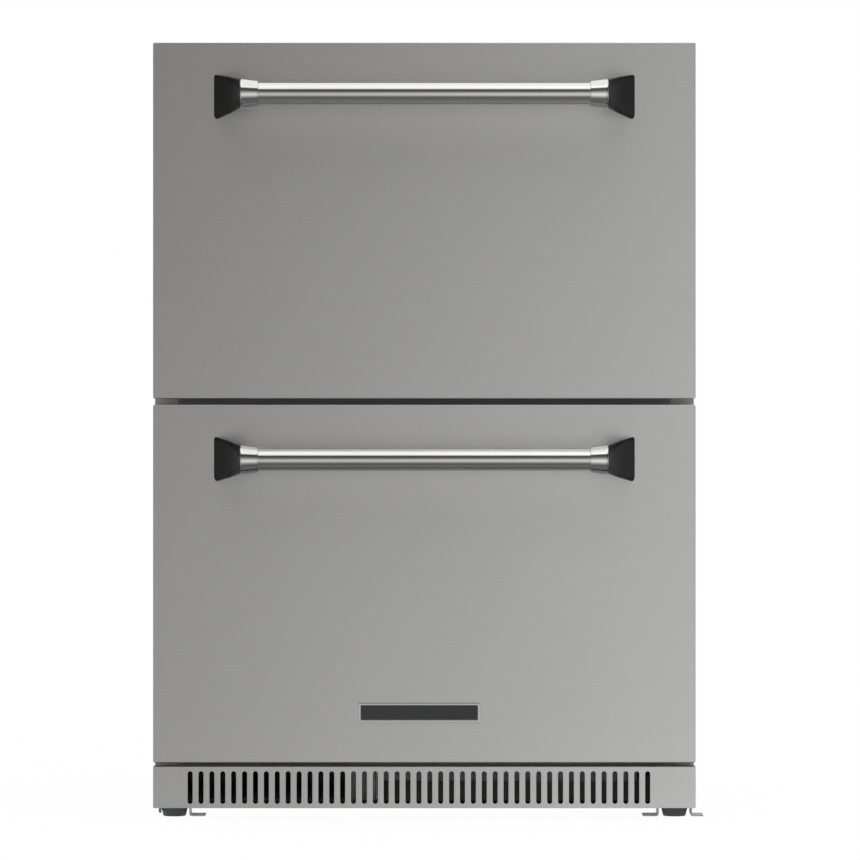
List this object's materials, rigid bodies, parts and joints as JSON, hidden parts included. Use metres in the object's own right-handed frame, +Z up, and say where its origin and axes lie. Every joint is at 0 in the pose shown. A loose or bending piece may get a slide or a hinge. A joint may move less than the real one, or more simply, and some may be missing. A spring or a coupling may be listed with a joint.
{
  "type": "under counter fridge",
  "caption": "Built-in under-counter fridge: two pull-out drawers with brushed steel fronts and bar handles over a slotted toe grille, on levelling legs with anti-tip brackets.",
  "frame": {"origin": "on the floor under the middle of the cabinet, midway between the handles' front and the back", "axes": "+Z up, +X to the right seen from the front, +Y to the back; the drawers open along -Y"},
  "size_m": [0.6192, 0.6831, 0.87],
  "materials": {
    "brushed_steel_front": "satin",
    "brushed_steel_cabinet": "satin",
    "galvanised_sheet": "satin",
    "bracket_steel": "satin",
    "handle_bar_steel": "polished",
    "handle_chrome": "polished",
    "badge_chrome": "polished",
    "tub_steel": "satin",
    "liner_plastic": "satin",
    "button_plastic": "satin",
    "black_plastic": "satin",
    "foot_plastic": "satin",
    "gasket_rubber": "matte",
    "black_paint": "satin",
    "copper": "satin",
    "coil_aluminium": "satin",
    "lamp_lens": "satin",
    "insulation_foam": "matte"
  },
  "bodies": {
    "cabinet": {"side_panel_left": "brushed_steel_cabinet", "side_panel_right": "brushed_steel_cabinet", "top_panel": "brushed_steel_cabinet", "back_panel": "galvanised_sheet", "rear_machine_cover": "galvanised_sheet", "base_pan": "galvanised_sheet", "base_deck": "galvanised_sheet", "liner": "liner_plastic", "insulation_foam": "insulation_foam", "mullion_bar": "black_plastic", "toe_grille": "brushed_steel_front", "grille_frame": "brushed_steel_front", "air_divider": "galvanised_sheet", "anti_tip_bracket_left": "bracket_steel", "anti_tip_bracket_right": "bracket_steel", "compressor": "black_paint", "condenser_coil": "black_paint", "condenser_fan_shroud": "black_plastic", "drain_pan": "black_plastic", "discharge_line": "copper", "power_inlet": "black_plastic", "evaporator_coil": "coil_aluminium", "evaporator_cover": "liner_plastic", "control_housing": "black_plastic", "lamp_lens": "lamp_lens", "upper_slide_outer_left": "galvanised_sheet", "upper_slide_outer_right": "galvanised_sheet", "lower_slide_outer_left": "galvanised_sheet", "lower_slide_outer_right": "galvanised_sheet"},
    "leg_front_left": {"levelling_leg_front_left": "foot_plastic"},
    "leg_front_right": {"levelling_leg_front_right": "foot_plastic"},
    "leg_rear_left": {"levelling_leg_rear_left": "foot_plastic"},
    "leg_rear_right": {"levelling_leg_rear_right": "foot_plastic"},
    "condenser_fan": {"condenser_fan_blade": "black_plastic"},
    "evaporator_fan": {"evaporator_fan_blade": "black_plastic"},
    "button_power": {"control_button_power": "button_plastic"},
    "button_set": {"control_button_set": "button_plastic"},
    "upper_slide_middle": {"upper_slide_middle_left": "galvanised_sheet", "upper_slide_middle_right": "galvanised_sheet"},
    "upper_drawer": {"upper_front_skin": "brushed_steel_front", "upper_inner_panel": "liner_plastic", "upper_gasket": "gasket_rubber", "upper_handle_bar": "handle_bar_steel", "upper_handle_post_left": "handle_chrome", "upper_handle_post_right": "handle_chrome", "upper_tub": "tub_steel", "upper_slide_inner_left": "galvanised_sheet", "upper_slide_inner_right": "galvanised_sheet"},
    "lower_slide_middle": {"lower_slide_middle_left": "galvanised_sheet", "lower_slide_middle_right": "galvanised_sheet"},
    "lower_drawer": {"lower_front_skin": "brushed_steel_front", "lower_inner_panel": "liner_plastic", "lower_gasket": "gasket_rubber", "lower_handle_bar": "handle_bar_steel", "lower_handle_post_left": "handle_chrome", "lower_handle_post_right": "handle_chrome", "lower_tub": "tub_steel", "lower_slide_inner_left": "galvanised_sheet", "lower_slide_inner_right": "galvanised_sheet", "badge_plate": "badge_chrome"}
  },
  "joints": [
    {"name": "upper_drawer_slide", "type": "slide", "parent": "cabinet", "child": "upper_drawer", "axis": [0, -1, 0], "range_m": [0, 0.4]},
    {"name": "upper_slide_middle_travel", "type": "slide", "parent": "cabinet", "child": "upper_slide_middle", "axis": [0, -1, 0], "range_m": [0, 0.2]},
    {"name": "lower_drawer_slide", "type": "slide", "parent": "cabinet", "child": "lower_drawer", "axis": [0, -1, 0], "range_m": [0, 0.25]},
    {"name": "lower_slide_middle_travel", "type": "slide", "parent": "cabinet", "child": "lower_slide_middle", "axis": [0, -1, 0], "range_m": [0, 0.125]},
    {"name": "condenser_fan_spin", "type": "hinge", "parent": "cabinet", "child": "condenser_fan", "pos_m": [-0.13, 0.235, 0.158], "axis": [1, 0, 0], "continuous": true},
    {"name": "evaporator_fan_spin", "type": "hinge", "parent": "cabinet", "child": "evaporator_fan", "pos_m": [0, 0.242, 0.73], "axis": [0, 1, 0], "continuous": true},
    {"name": "button_power_press", "type": "slide", "parent": "cabinet", "child": "button_power", "axis": [0, 1, 0], "range_m": [0, 0.0012], "stiffness_N_per_m": 400, "springref_m": -0.0005},
    {"name": "button_set_press", "type": "slide", "parent": "cabinet", "child": "button_set", "axis": [0, 1, 0], "range_m": [0, 0.0012], "stiffness_N_per_m": 400, "springref_m": -0.0005},
    {"name": "leg_front_left_height", "type": "slide", "parent": "cabinet", "child": "leg_front_left", "axis": [0, 0, -1], "range_m": [0, 0.019]},
    {"name": "leg_front_right_height", "type": "slide", "parent": "cabinet", "child": "leg_front_right", "axis": [0, 0, -1], "range_m": [0, 0.019]},
    {"name": "leg_rear_left_height", "type": "slide", "parent": "cabinet", "child": "leg_rear_left", "axis": [0, 0, -1], "range_m": [0, 0.019]},
    {"name": "leg_rear_right_height", "type": "slide", "parent": "cabinet", "child": "leg_rear_right", "axis": [0, 0, -1], "range_m": [0, 0.019]}
  ],
  "couplings": [
    {"joint": "upper_slide_middle_travel", "follows": "upper_drawer_slide", "ratio": 0.5},
    {"joint": "lower_slide_middle_travel", "follows": "lower_drawer_slide", "ratio": 0.5}
  ]
}
